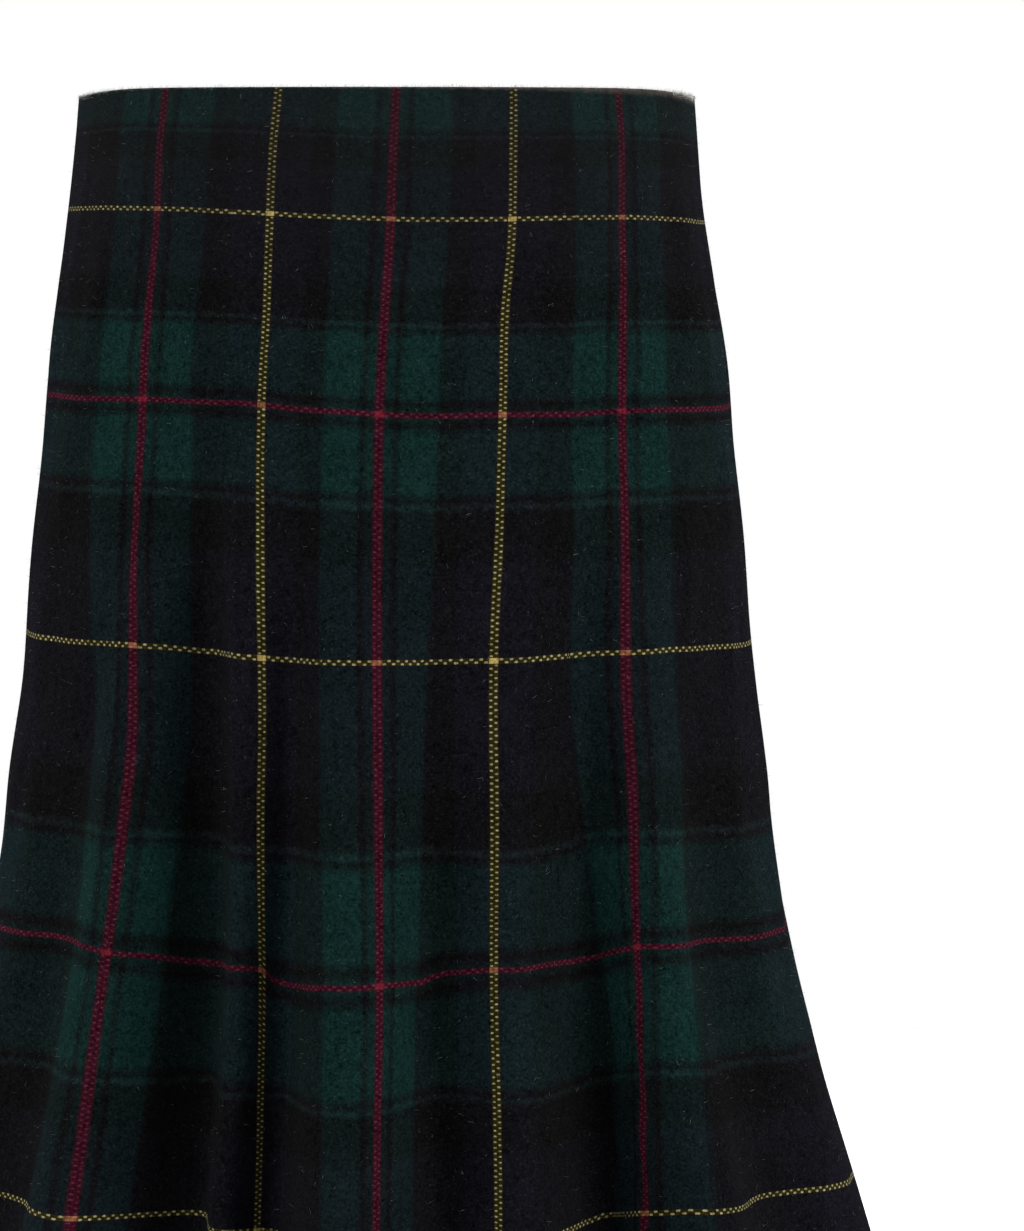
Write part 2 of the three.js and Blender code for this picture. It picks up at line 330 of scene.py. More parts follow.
# The sett: where the woven lines lie on the form
sett = {
    "endPitch": 2.145,          # from one warp thread to the next, in mm
    "endsPerHalf": 25,          # warp threads from a red line to the next yellow line
    "stretchStart": 2.48,       # past here the dark field at the sides is wider than the repeat
    "sideSeam": 2.9,
    # so many threads on each side of a red and of a yellow line keep their own width
    "trueThreads": (12.5, 8),
    # the fold beside the right-hand red line takes in part of its bands: where it starts and is whole,
    # and the share of their width that is left on each side
    "takenIn": (300, 420, 0.5, 0.65),
    "backMiddle": 4.6,          # the repeat at the middle line of each back panel
    # level, then the turn of each lengthways line: red, yellow, red in the middle, yellow, red
    "stripes": [
        (0, -44.4, -19.9, 1.6, 23.4, 47.2),
        (30, -45.4, -20.8, 1, 22.9, 47.4),
        (60, -44.8, -20.9, 0.5, 22, 45.9),
        (100, -44.4, -20.5, -0.6, 19.6, 43.4),
        (135, -44.1, -20.6, -1.3, 18.7, 41.6),
        (190, -43.9, -20.4, -1.7, 17.5, 40.2),
        (240, -42.1, -20.1, -1.8, 16.4, 39),
        (290, -40.5, -19.7, -1.6, 15.8, 38.4),
        (340, -40.7, -19.3, -1.5, 15.3, 37.8),
        (395, -40.7, -18.6, -1.4, 14.6, 37.1),
        (450, -39.9, -18, -1.6, 14, 36),
        (600, -37.5, -16.5, -1.6, 12, 32.8),
    ],
    # level at the centre front, the half-repeats counted so far, and the weft threads counted so far
    "rows": [
        (0, 0.18, -52),
        (20, 0.46, -34),
        (57.5, 1, 0),
        (104.7, 1.52, 40),
        (141.5, 2, 72),
        (176.7, 2.46, 99),
        (247.5, 3, 154),
        (303, 3.32, 195),
        (332, 3.52, 217),
        (384.7, 4, 256),
        (433, 4.46, 295),
        (495.6, 5, 346),
        (555, 5.5, 390),
        (608, 6, 430),
        (660, 6.45, 470),
    ],
    "yellowPicks": (0, 154, 346),
    "redPicks": (72, 256, 430),
    "aboveRows": (70, 1.15),    # over the first row: mm to a half-repeat, and to a weft thread
    # how far a crossways line hangs below its level, by turn, at a few levels
    "dropTurns": (-130, -90, -60, -43, -38, -33, -28, -25, -21, -18.5, -17.5, -14, -8,
                  0, 4.5, 8, 15, 24, 30, 34, 38, 48, 62, 75, 90, 130),
    "drops": {
        0: (0, -4, -4, -3.3, -3, -3, -2.6, -2.4, -2, -2, -2, -1, -0.3,
            0, 0, 0, 0, 0, 0, 0, 0, 0, 0, 1, 1, 0),
        57: (0, -5, -4.8, -4.3, -4.1, -3.5, -3, -2.7, -2.3, -1.9, -1.7, -1.3, -0.7,
             0, 0.3, 0.3, 0.3, 0.1, -0.2, -0.3, -0.4, -0.5, 0.4, 1.4, 1.4, 0),
        141: (0, -5, -4.8, -5.5, -5.4, -5.2, -5, -4.9, -4.2, -3.5, -3.2, -2.2, -1.4,
              0, 0.5, 0.8, 0.3, 0.4, 0.7, 0.5, -0.1, -0.2, 0.6, 1.2, 1.2, 0),
        247: (0, -3.1, -3.5, -4.7, -4.2, -1.9, -1.6, -2, -1.2, -0.4, 0, 0.2, -0.1,
              0, 0.8, 0.7, 0.1, -0.1, -0.3, -0.7, -1.3, -1.2, 0.2, 1.9, 1.9, 0),
        332: (0, -6, -6, -6, -6, -4, -2.5, -1.9, -1, -0.4, -0.3, 0, 0,
              0, 0.2, 0.2, 1, 1, -0.5, -3.5, -6.5, -3.5, -1, -1, -1, 0),
        385: (0, -10, -11.5, -11.1, -8.7, -3.3, -1.8, -3.9, -5.8, -3.4, 2, 3.8, 0.1,
              0, 1.9, -1.7, -5.3, -4.6, -3.1, -4.3, -13, -10.8, -8.2, -7.8, -7.6, 0),
        433: (0, -6, -6, -6, -6, -4.5, -3.8, -3.6, -3.3, -2, -1.5, -0.5, 0,
              0, -0.5, -1, -1, -0.3, 0, -3, -9, -6, -5, -3, -2, 0),
        600: (0, -8, -8, -8.7, -9, -7, -6, -5.7, -5.2, -3.2, -2.5, -1, 0,
              0, -1, -2, -2, -1, -0.6, -4, -9, -7, -6, -4, -3, 0),
    },
}


# The weft's half-repeats and threads counted down to this place
def settDown(turn, down):
    levels = numpy.array(list(sett["drops"]), float)
    signed = (turn + 180) % 360 - 180
    rows = [numpy.interp(signed, sett["dropTurns"], drop) for drop in sett["drops"].values()]
    byLevel = numpy.stack(rows)
    step = numpy.clip(numpy.searchsorted(levels, down, side="right") - 1, 0, len(levels) - 2)
    part = numpy.clip((down - levels[step]) / (levels[step + 1] - levels[step]), 0, 1)
    higher = numpy.take_along_axis(byLevel, step[None], 0)[0]
    lower = numpy.take_along_axis(byLevel, step[None] + 1, 0)[0]
    level = down - (higher + (lower - higher) * part)
    above = numpy.minimum(level, 0)
    rowLevels, halves, threads = zip(*sett["rows"])
    weft, picks = numpy.interp(level, rowLevels, halves), numpy.interp(level, rowLevels, threads)
    perHalf, perThread = sett["aboveRows"]
    return weft + above / perHalf, picks + above / perThread


# The places along one row of front cloth where a line or band starts, and the count there
def settKnots(here, cloth, level):
    pitch, perHalf, ownThreads = sett["endPitch"], sett["endsPerHalf"], sett["trueThreads"]
    field, seam = sett["stretchStart"], sett["sideSeam"]
    lines = [alongTable(sett["stripes"], column, level) for column in range(1, 6)]
    past = field - 2
    firstField = lines[0] - past * (lines[1] - lines[0])
    lastField = lines[4] + past * (lines[4] - lines[3])
    turns = [-90, firstField, *lines, lastField, 90]
    counts = [-seam, -field, -2, -1, 0, 1, 2, field, seam]
    knots = [numpy.interp(mark, here, cloth) for mark in turns]
    starts, full, leftShare, rightShare = sett["takenIn"]
    part = min(max((level - starts) / (full - starts), 0), 1)
    leftShare, rightShare = 1 - part * (1 - leftShare), 1 - part * (1 - rightShare)
    knots[7] = knots[6] + (knots[7] - knots[6]) * rightShare
    # Beside a line the threads keep their own width; the dark field between takes up the rest
    for place in range(4):
        before = 3 + place * 3
        start, end = knots[before - 1], knots[before]
        share = min((end - start) / pitch / perHalf, 1)
        own = [ownThreads[(place + step) % 2] for step in (0, 1)]
        narrowed = share * (leftShare if place == 3 else 1)
        knots[before:before] = [start + own[0] * pitch * share, end - own[1] * pitch * narrowed]
        counts[before:before] = [place - 2 + own[0] / perHalf, place - 1 - own[1] / perHalf]
    return knots, counts


# The half-repeats and threads of warp and weft counted to each place of the cloth
def settPlace(turn, down, backSide):
    weft, picks = settDown(turn, down)
    warp, ends = numpy.empty_like(turn), numpy.empty_like(turn)
    pitch, perHalf, field = sett["endPitch"], sett["endsPerHalf"], sett["stretchStart"]
    middleTurn = {None: 0, "left": 135, "right": 225}[backSide]
    for row in range(turn.shape[1]):
        here, level = turn[:, row], down[:, row].mean()
        points = middlePoint(here, numpy.full_like(here, numpy.clip(level, 0, skirtForm["length"])))
        cloth = numpy.concatenate([[0], numpy.cumsum(lengthOf(numpy.diff(points, axis=0))[:, 0])])
        if backSide:
            past = (cloth - numpy.interp(middleTurn, here, cloth)) / pitch
            counted = sett["backMiddle"] * perHalf + (past if backSide == "left" else -past)
            ends[:, row] = counted if backSide == "left" else -counted
            warp[:, row] = ends[:, row] / perHalf
            continue
        knots, counts = settKnots(here, cloth, level)
        warp[:, row] = numpy.interp(cloth, knots, counts)
        natural = numpy.clip(warp[:, row], -field, field) * perHalf
        beyond = numpy.minimum(cloth - knots[1], 0) + numpy.maximum(cloth - knots[-2], 0)
        threads = natural + beyond / pitch
        # In the dark fields the weave stays even, though the field is wider than its threads
        for place in range(3, 13, 3):
            inField = (cloth > knots[place]) & (cloth < knots[place + 1])
            evenly = counts[place] * perHalf + (cloth - knots[place]) / pitch
            threads = numpy.where(inField, evenly, threads)
        ends[:, row] = threads
    return warp, weft, ends, picks


# The cloth panels, each one piece of cloth with its edges turned in
panelCut = {
    "cloth": 1.0,               # thickness of the wool, in mm
    "face": 0.9,                # its right side, out from the middle surface
    "seamAllowance": 15,
    "waistTurning": 5,
    "hemTurning": 38,
    "seamRadius": 1.03,
    "waistRadius": 1.6,
    "hemRadius": 1.7,
    "curlSteps": 6,
    "seamPress": 0.05,          # the pressed edges of two panels bite into each other this far
    "fineDepth": 30,            # close rows in the top of the skirt
    "fineRows": 15,
    "rows": 132,
    "turningSteps": (3, 2, 5),  # over the flat of a seam's, the waist's and the hem's turning
    "slitHalf": 1.45,           # the seam stands apart round the zip slider's neck
    "slitLevel": 11,
    "slitReach": 6.5,
}
# piece, the node that it dresses, its first and last turn, columns of the cloth, side of the back
panelPieces = [
    ("skirt_front", "front_panel", (-90, 90), 200, None),
    ("skirt_back_left", "back_left_panel", (90, 180), 108, "left"),
    ("skirt_back_right", "back_right_panel", (180, 270), 108, "right"),
]


# Steps past an edge: round the curl, and then along the turned-in cloth
def edgeSteps(radius, turning, flatSteps):
    curlSteps = panelCut["curlSteps"]
    curl = [math.pi * radius * step / curlSteps for step in range(1, curlSteps + 1)]
    flat = [curl[-1] + turning * step / flatSteps for step in range(1, flatSteps + 1)]
    return numpy.array(curl + flat)


# Where a distance past an edge lies: how far from the edge line, and how far under the face
def curled(past, radius):
    angle = numpy.clip(past / radius, 0, math.pi)
    flat = numpy.maximum(past - math.pi * radius, 0)
    return radius * numpy.sin(angle) - radius - flat, radius * (1 - numpy.cos(angle))


def slit(down):
    reach = numpy.clip(1 - ((down - panelCut["slitLevel"]) / panelCut["slitReach"]) ** 2, 0, 1)
    return panelCut["slitHalf"] * reach ** 0.7


def makePanel(name, node, turns, columns, backSide, material):
    cut, length = panelCut, skirtForm["length"]
    seamSteps, waistSteps, hemSteps = cut["turningSteps"]
    sides = edgeSteps(cut["seamRadius"], cut["seamAllowance"], seamSteps)
    top = edgeSteps(cut["waistRadius"], cut["waistTurning"], waistSteps)
    hem = edgeSteps(cut["hemRadius"], cut["hemTurning"], hemSteps)
    across = numpy.concatenate([-sides[::-1], numpy.linspace(0, 1, columns + 1), 1 + sides])
    topEdge, hemEdge, fine = cut["waistRadius"], length - cut["hemRadius"], cut["fineDepth"]
    levels = numpy.concatenate([topEdge - top[::-1],
                                numpy.linspace(topEdge, fine, cut["fineRows"], endpoint=False),
                                numpy.linspace(fine, hemEdge, cut["rows"] + 1), hemEdge + hem])
    shape = bmesh.new()
    bmesh.ops.create_grid(shape, x_segments=len(across) - 1, y_segments=len(levels) - 1, size=0.5)
    piece = newObject(name, shape)
    mesh = piece.data
    flat = numpy.empty(len(mesh.vertices) * 3)
    mesh.vertices.foreach_get("co", flat)
    flat = flat.reshape(-1, 3)
    column = numpy.rint((flat[:, 0] + 0.5) * (len(across) - 1)).astype(int)
    row = numpy.rint((0.5 - flat[:, 1]) * (len(levels) - 1)).astype(int)

    place, level = numpy.meshgrid(across, levels, indexing="ij")
    main = numpy.clip(place, 0, 1)
    pastLeft, pastRight = numpy.maximum(-place, 0), numpy.maximum(place - 1, 0)
    pastTop, pastHem = numpy.maximum(topEdge - level, 0), numpy.maximum(level - hemEdge, 0)
    topShift, topUnder = curled(pastTop, cut["waistRadius"])
    hemShift, hemUnder = curled(pastHem, cut["hemRadius"])
    down = numpy.clip(level, topEdge, hemEdge)
    down = numpy.where(pastTop > 0, -topShift, down)
    down = numpy.where(pastHem > 0, length + hemShift, down)
    first, last = turns
    firstPitch, lastPitch = perDegree(first, down), perDegree(last, down)
    leftShift, leftUnder = curled(pastLeft, cut["seamRadius"])
    rightShift, rightUnder = curled(pastRight, cut["seamRadius"])
    leftSlit = slit(down) if backSide == "right" else 0
    rightSlit = slit(down) if backSide == "left" else 0
    start = first + (-leftShift - cut["seamPress"] + leftSlit) / firstPitch
    end = last + (rightShift + cut["seamPress"] - rightSlit) / lastPitch
    turn = start + (end - start) * main
    under = numpy.where(pastLeft > 0, leftUnder, rightUnder) + topUnder + hemUnder
    points = clothPoint(turn, down, cut["face"] - under) * mm

    # The woven pattern runs on through the turned-in edges
    turnOn = turn + (-pastLeft + leftShift + cut["seamRadius"]) / firstPitch
    turnOn = turnOn + (pastRight - rightShift - cut["seamRadius"]) / lastPitch
    warp, weft, ends, picks = settPlace(turnOn, level, backSide)

    mesh.vertices.foreach_set("co", points[column, row].ravel())
    corners = numpy.empty(len(mesh.loops), int)
    mesh.loops.foreach_get("vertex_index", corners)
    for layerName, lengthways, crossways in (("sett", warp, weft), ("threads", ends, picks)):
        layer = mesh.uv_layers.new(name=layerName)
        pair = numpy.stack([lengthways[column, row], crossways[column, row]], -1)
        layer.data.foreach_set("uv", pair[corners].ravel())
    mesh.polygons.foreach_set("use_smooth", [True] * len(mesh.polygons))
    mesh.materials.append(material)
    mesh.update()
    thicken(piece, "cloth thickness", cut["cloth"])
    stepRound = points[1:, :-1] - points[:-1, :-1]
    stepDown = points[:-1, 1:] - points[:-1, :-1]
    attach(piece, "skirt")
    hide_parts(node)


# The wool's colours and weave
woolLook = {
    "warpGreen": (0.0045, 0.0158, 0.0144),
    "weftGreen": (0.0051, 0.0216, 0.0189),
    "darkGreen": (0.0046, 0.0120, 0.0110),
    "navy": (0.0058, 0.0054, 0.0081),
    "black": (0.0042, 0.0039, 0.0042),
    "lightPick": (0.0095, 0.0200, 0.0200),
    "yellowUnder": (0.0190, 0.0160, 0.0025),
    "yellowDot": (0.2500, 0.2300, 0.1300),
    "redUnder": (0.0330, 0.0036, 0.0095),
    "redDot": (0.0620, 0.0170, 0.0260),
    "redCrossing": (0.150, 0.012, 0.022),
    "yellowCrossing": (0.400, 0.300, 0.088),
    "fibre": (0.045, 0.052, 0.052),
    "rimHighlight": (0.064, 0.054, 0.050),    # painted highlight: a paler strip along the waist edge, standing in for the turned-up rim lit from above
    "edgeReach": (1.4, 3.6),    # how many weft threads it covers, least and most
    "paintedTopLight": (0.012, 0.011, 0.012),       # painted light: the cloth is paler near the waist, standing in for more light falling on the top
    "paintedTopLightShare": 0.33,
    # where each band starts, from a red line at 0 to a yellow line at 1
    "warpBands": [(0, "darkGreen"), (0.11, "black"), (0.165, "warpGreen"), (0.475, "black"),
                  (0.68, "navy")],
    "weftBands": [(0, "darkGreen"), (0.035, "black"), (0.085, "weftGreen"), (0.452, "black"),
                  (0.472, "lightPick"), (0.492, "black"), (0.68, "navy")],
    "threadContrast": 0.14,     # how clearly warp and weft threads part in the dark ground
    "bandBlur": 0.042,          # brushing draws each band into the next
    "bandFuzz": (0.05, 0.04),   # how far loose fibres carry the edge of a band, in warp and weft
    # how far a thread has to rise over the other before its colour starts to show, and shows whole
    "warpDot": (0.3, 0.85),
    "weftDot": (0.15, 0.7),
    # half the width of each coloured line in threads: where it ends, and where it is whole
    "yellowWarp": (1.1, 0.8),
    "redWarp": (1.35, 0.6),
    "yellowWeft": (1.1, 0.8),
    "redWeft": (1.45, 0.6),
    "crossingShare": 0.8,
    "fuzz": {"Scale": 330, "Detail": 3, "Roughness": 0.65},
    "weftFuzz": {"Scale": 290, "Detail": 3, "Roughness": 0.65},
    "nap": {"Scale": 900, "Detail": 2, "Roughness": 0.6},
    "cloud": {"Scale": 40, "Detail": 3, "Roughness": 0.55},
    "napTone": 2.4,             # how much each of them darkens and lightens the cloth
    "fuzzTone": 1.6,
    "cloudTone": 0.6,
    "speck": 0.18,              # how far the pale fibres cover it
    "rimHighlightShare": 0.85,
    "roughness": 0.95,
    "specular": 0.0,
    "sheen": 0.006,
}


# The stops of a ramp whose bands run softly into each other, as square roots of the colours
def bandStops(bands):
    blur = woolLook["bandBlur"]
    stops = []
    for index, (start, colourName) in enumerate(bands):
        root = [part ** 0.5 for part in woolLook[colourName]]
        stops.append((start + (blur / 2 if index else 0), root))
        if index + 1 < len(bands):
            stops.append((max(bands[index + 1][0] - blur / 2, start + blur / 2 + 0.001), root))
    return {"stops": stops}


# How near the weft count is to any of these threads
def nearPick(picks, counts, least, most):
    near = [abs(picks - count).soft(least, most) for count in counts]
    return near[0].larger(near[1]).larger(near[2])


def makeWool():
    look = woolLook
    material, shader, wire = newMaterial("tartan wool", look["roughness"], look["specular"],
                                         sheen=look["sheen"], sheenRoughness=0.6)
    settMap = wire.node("ShaderNodeUVMap", {"uv_map": "sett"})
    threadMap = wire.node("ShaderNodeUVMap", {"uv_map": "threads"})
    ends, picks = threadMap.axis(0), threadMap.axis(1)
    warpShare, weftShare = settMap.axis(0).toAndFro(), settMap.axis(1).toAndFro()
    body = ownPlace(wire)
    fuzz, weftFuzz = body.noise(look["fuzz"]), body.noise(look["weftFuzz"], 1).axis(1)
    nap, cloud = body.noise(look["nap"]), body.noise(look["cloud"])

    # Each band's colour is the product of the roots of its warp and weft colours
    warpFuzz, pickFuzz = look["bandFuzz"]
    warpRoot = wire.node("ShaderNodeValToRGB", bandStops(look["warpBands"]),
                         {0: warpShare + (fuzz - 0.5) * warpFuzz})
    weftRoot = wire.node("ShaderNodeValToRGB", bandStops(look["weftBands"]),
                         {0: weftShare + (weftFuzz - 0.5) * pickFuzz})
    over = (ends * math.pi).sine() * (picks * math.pi).sine()
    contrast = look["threadContrast"]
    ground = weftRoot.mixedInto(warpRoot)
    ground = (over.larger(0) * contrast).blend(ground, warpRoot.mixedInto(warpRoot))
    ground = ((0 - over).larger(0) * contrast).blend(ground, weftRoot.mixedInto(weftRoot))

    warpDot, weftDot = over.soft(*look["warpDot"]), (0 - over).soft(*look["weftDot"])
    oneEnd = 1 / sett["endsPerHalf"]
    warpYellow = (1 - warpShare).soft(*[oneEnd * reach for reach in look["yellowWarp"]])
    warpRed = warpShare.soft(*[oneEnd * reach for reach in look["redWarp"]])
    weftYellow = nearPick(picks, sett["yellowPicks"], *look["yellowWeft"])
    weftRed = nearPick(picks, sett["redPicks"], *look["redWeft"])

    def either(yellow, part):
        return yellow.blend(four(look["red" + part]), four(look["yellow" + part]))

    anyWeft, anyWarp = weftYellow.larger(weftRed), warpYellow.larger(warpRed)
    weftColour = weftDot.blend(either(weftYellow, "Under"), either(weftYellow, "Dot"))
    warpColour = warpDot.blend(either(warpYellow, "Under"), either(warpYellow, "Dot"))
    colour = anyWeft.blend(ground, weftColour)
    colour = (anyWarp * (1 - anyWeft * weftDot)).blend(colour, warpColour)
    # Where two lines cross, both threads are coloured and no dark one lies between
    yellows = warpYellow + weftYellow
    crossing = either(yellows * yellows * 0.25, "Crossing")
    crossing = yellows.soft(0.7, 0.95).blend(four(look["redCrossing"]), crossing)
    colour = (anyWarp * anyWeft * look["crossingShare"]).blend(colour, crossing)

    tone = 1.0 + (nap - 0.5) * look["napTone"] + (fuzz - 0.5) * look["fuzzTone"]
    tone = tone + (cloud - 0.5) * look["cloudTone"]
    colour = (nap.soft(0.6, 0.78) * look["speck"]).blend(tone.times(colour), four(look["fibre"]))
    # Painted light: the cloth is blended paler towards the waist edge, as if more light fell on the top
    height = body.axis(2).soft(-0.11, -0.01)
    colour = (height * look["paintedTopLightShare"]).blend(colour, four(look["paintedTopLight"]))
    # Painted highlight: a paler strip along the waist edge, standing in for the light that the turned-up
    # rim catches from above
    least, most = look["edgeReach"]
    reach = least + abs(body.axis(0) + 0.03).soft(0.05, 0.15) * (most - least)
    below = picks - sett["rows"][0][2] + (fuzz - 0.5) * 3 + (nap - 0.5) * 2
    wearAndRimHighlight = below.soft(reach, reach * 0.1) * below.soft(-3.4, -1.4) * look["rimHighlightShare"]
    feed(wearAndRimHighlight.blend(colour, four(look["rimHighlight"])), shader, "Base Color")
    feed(bump(wire, abs(over) * 0.5 + nap * 0.8, 0.4, 0.3 * mm), shader, "Normal")
    return material


wool = makeWool()
for plan in panelPieces:
    makePanel(*plan, wool)
print("the cloth panels are made")


# Loose fibres of the brushed wool: a fringe of them at the waist edge, and a few all over
fibreLook = {
    "seed": 11,
    "edgeFibres": 5000,
    "edgeLength": (0.5, 1.7),
    # at these turns the edge has a tuft of longer fibres, coloured near white as a painted highlight
    "tufts": [(66, 82, 420), (-80, -63, 80)],
    "tuftLength": (0.9, 2.6),
    "faceFibres": 14000,
    "faceLength": (0.8, 3.0),
    "radius": (0.025, 0.05),
    "edge": (0.045, 0.040, 0.038),
    "dark": (0.020, 0.024, 0.024),
    "pale": (0.30, 0.31, 0.28),
    # painted highlight: the tuft's fibres are coloured near white
    "tuft": (0.75, 0.75, 0.72),
    "patches": {"Scale": 210, "Detail": 1},
}


# The mesh of an object with its modifiers applied; the object itself goes
def applied(piece):
    mesh = bpy.data.meshes.new_from_object(piece.evaluated_get(bpy.context.evaluated_depsgraph_get()))
    bpy.data.objects.remove(piece)
    shape = bmesh.new()
    shape.from_mesh(mesh)
    bpy.data.meshes.remove(mesh)
    return shape


# An array of one short fibre, each of them then set on its own root
def makeFibres(name, places, length, material, chance, stand):
    shape = bmesh.new()
    bmesh.ops.create_cone(shape, cap_ends=True, segments=3, radius1=1, radius2=0.4, depth=1,
                          matrix=Matrix.Translation((0, 0, 0.5)))
    corners = len(shape.verts)
    single = newObject("one fibre", shape)
    row = single.modifiers.new("many fibres", "ARRAY")
    row.count = len(places)
    row.use_relative_offset = False
    shape = applied(single)
    own = numpy.array([vert.co for vert in shape.verts]).reshape(len(places), corners, 3)
    turns, levels = numpy.array(places).T
    roots = clothPoint(turns, levels, panelCut["face"] - 0.2)
    outward = clothPoint(turns, levels, 1.9) - clothPoint(turns, levels, 0.9)
    strays = numpy.array([[chance.gauss(0, 1) for axis in range(3)] for place in places])
    leaning = strays + outward * stand[0] + numpy.array([0, 0, stand[1]])
    leaning = leaning / lengthOf(leaning)
    across = numpy.cross(leaning, numpy.array([0.3, 0.5, 0.8]))
    across = across / lengthOf(across)
    beside = numpy.cross(leaning, across)
    reach = numpy.array([chance.uniform(*length) for place in places])[:, None, None]
    radius = numpy.array([chance.uniform(*fibreLook["radius"]) for place in places])[:, None, None]
    points = (roots[:, None] + reach * own[..., 2:] * leaning[:, None]
              + radius * (own[..., :1] * across[:, None] + own[..., 1:2] * beside[:, None])) * mm
    for vert, point in zip(shape.verts, points.reshape(-1, 3)):
        vert.co = point
    faceOut(shape)
    finishPiece(name, shape, material, "skirt")


def finishPiece(name, shape, material, body, replaced=(), sharpAngle=35):
    piece = newObject(name, shape)
    piece.data.materials.append(material)
    piece.data.shade_smooth()
    piece.data.set_sharp_from_angle(angle=math.radians(sharpAngle))
    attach(piece, body)
    if replaced:
        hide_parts(*replaced)
    return piece


def makeFibreMaterial(name, first, second):
    material, shader, wire = newMaterial(name, 0.8, 0.1)
    share = ownPlace(wire).noise(fibreLook["patches"]).soft(0.35, 0.65)
    feed(share.blend(four(first), four(second)), shader, "Base Color")
    return material


def makeAllFibres():
    look = fibreLook
    chance = random.Random(look["seed"])
    faceFibre = makeFibreMaterial("wool fibre", look["dark"], look["pale"])
    edgeFibre = makeFibreMaterial("brushed edge fibre", look["edge"], look["pale"])
    # The tuft's fibres are coloured near white, a painted highlight on the waist edge
    highlightFibre = makeFibreMaterial("painted highlight wool fibre", look["pale"], look["tuft"])
    edge = [(chance.uniform(-180, 180), chance.uniform(0, 1.4)) for fibre in range(look["edgeFibres"])]
    makeFibres("waist_edge_fibres", edge, look["edgeLength"], edgeFibre, chance, (0.3, 1.2))
    tuft = []
    for first, last, number in look["tufts"]:
        tuft += [(chance.uniform(first, last), chance.uniform(0, 2.6)) for fibre in range(number)]
    makeFibres("waist_edge_tuft", tuft, look["tuftLength"], highlightFibre, chance, (1.2, 0.9))
    places = []
    while len(places) < look["faceFibres"]:
        turn, down = chance.uniform(-180, 180), chance.uniform(4, skirtForm["length"] - 3)
        # The hem is wider than the waist, so more of them lie low
        if chance.random() < 0.45 + 0.55 * down / skirtForm["length"]:
            places.append((turn, down))
    makeFibres("face_fibres", places, look["faceLength"], faceFibre, chance, (1.1, 0))


makeAllFibres()
print("the loose fibres are made")


# The zip in the centre-back seam, in millimetres: along is down the seam, lift is out of the cloth
zipTapes = {
    "seam": 180,
    "near": 2.2,                # from the seam to the tape's two edges
    "far": 13,
    "top": 7,
    "end": 180,
    "lift": -1.3,
    "thickness": 0.5,
    "columns": 8,
    "rows": 120,
    "ribs": 0.55,               # from one woven rib to the next
    "stitchAt": 8.5,
    "stitchLength": 2.3,
    "stitchPitch": 3.1,
    "stitchRadius": 0.17,
    "threadWidth": 0.45,
    "dark": (0.008, 0.008, 0.010),
    "pale": (0.024, 0.025, 0.030),
}
zipCoil = {
    "first": 17.5,
    "last": 176,
    "pitch": 1.25,
    "centre": 1.05,             # from the seam to the middle of each coil
    "halfWidth": 1.3,
    "halfDepth": 0.55,
    "lift": -2.4,
    "wire": 0.21,
    "stepsPerTurn": 8,
    "stopSize": (4.6, 1.7, 2.8),
    "stopEdgeRadius": 0.35,
    "dark": (0.010, 0.010, 0.012),
    "pale": (0.032, 0.032, 0.036),
    "twist": {"Scale": 900, "Distortion": 2},
}
zipHead = {
    "level": 11,
    "plateWidth": 8.4,
    "plateHeight": 10,
    "plateThickness": 2.2,
    "plateLift": -3.6,
    "plateTaper": 0.74,
    "railWidth": 0.8,
    "railHeight": 0.75,
    "neckWidth": 2.2,
    "neckHeight": 7,
    "neckTop": 1.7,
    "bridgeWidth": 1.4,
    "bridgeCentre": 1.6,        # the bridge is half a ring round this lift
    "bridgeInside": 1.7,
    "bridgeOutside": 2.8,
    "edgeRadius": 0.32,
    "barLift": 2.5,
    "tabThickness": 0.9,
    "tabTopWidth": 5,
    "tabBottomWidth": 6.4,
    "tabLength": 16,
    "windowWidth": 2.3,
    "windowLength": 4,
    "tabCorner": 1.3,
    "windowCorner": 0.6,
    "windowLow": 0.9,           # how round the window's lower end is
    "cornerSquareness": 0.45,
    "tabEdgeRadius": 0.22,
    "enamel": (0.018, 0.018, 0.020),
    "worn": (0.075, 0.075, 0.078),
    "cloud": {"Scale": 420, "Detail": 4},
    "scratches": {"Scale": 2600, "Detail": 3, "Distortion": 1.5},
}


# The turn that lies a number of millimetres round from the zip's seam at this level
def besideZip(distance, down):
    return zipTapes["seam"] + distance / perDegree(zipTapes["seam"], down)


# The slider's own place: X across the seam, Y up along it, Z out of the cloth
def zipPlace():
    turn, down = numpy.array(float(zipTapes["seam"])), numpy.array(float(zipHead["level"]))
    middle = middlePoint(turn, down)
    out = Vector(clothPoint(turn, down, 1.0) - middle).normalized()
    up = Vector(middlePoint(turn, down - 0.5) - middlePoint(turn, down + 0.5)).normalized()
    turned = Matrix([up.cross(out), up, out]).transposed().to_4x4()
    return Matrix.Translation(Vector(middle) * mm) @ turned @ Matrix.Diagonal((mm, mm, mm, 1))


def makeTapeMaterial():
    material, shader, wire = newMaterial("zip tape weave", 0.85, 0.2, sheen=0.02)
    place = wire.node("ShaderNodeUVMap", {"uv_map": "tape"})
    ribs = (place.axis(1) * (2 * math.pi / zipTapes["ribs"])).sine()
    threads = (place.axis(0) * (2 * math.pi / zipTapes["threadWidth"]) + ribs * 1.5).sine()
    weave = ribs * threads
    colour = weave.soft(-1, 1).blend(four(zipTapes["dark"]), four(zipTapes["pale"]))
    feed(colour, shader, "Base Color")
    feed(bump(wire, weave, 0.5, 0.06 * mm), shader, "Normal")
    return material


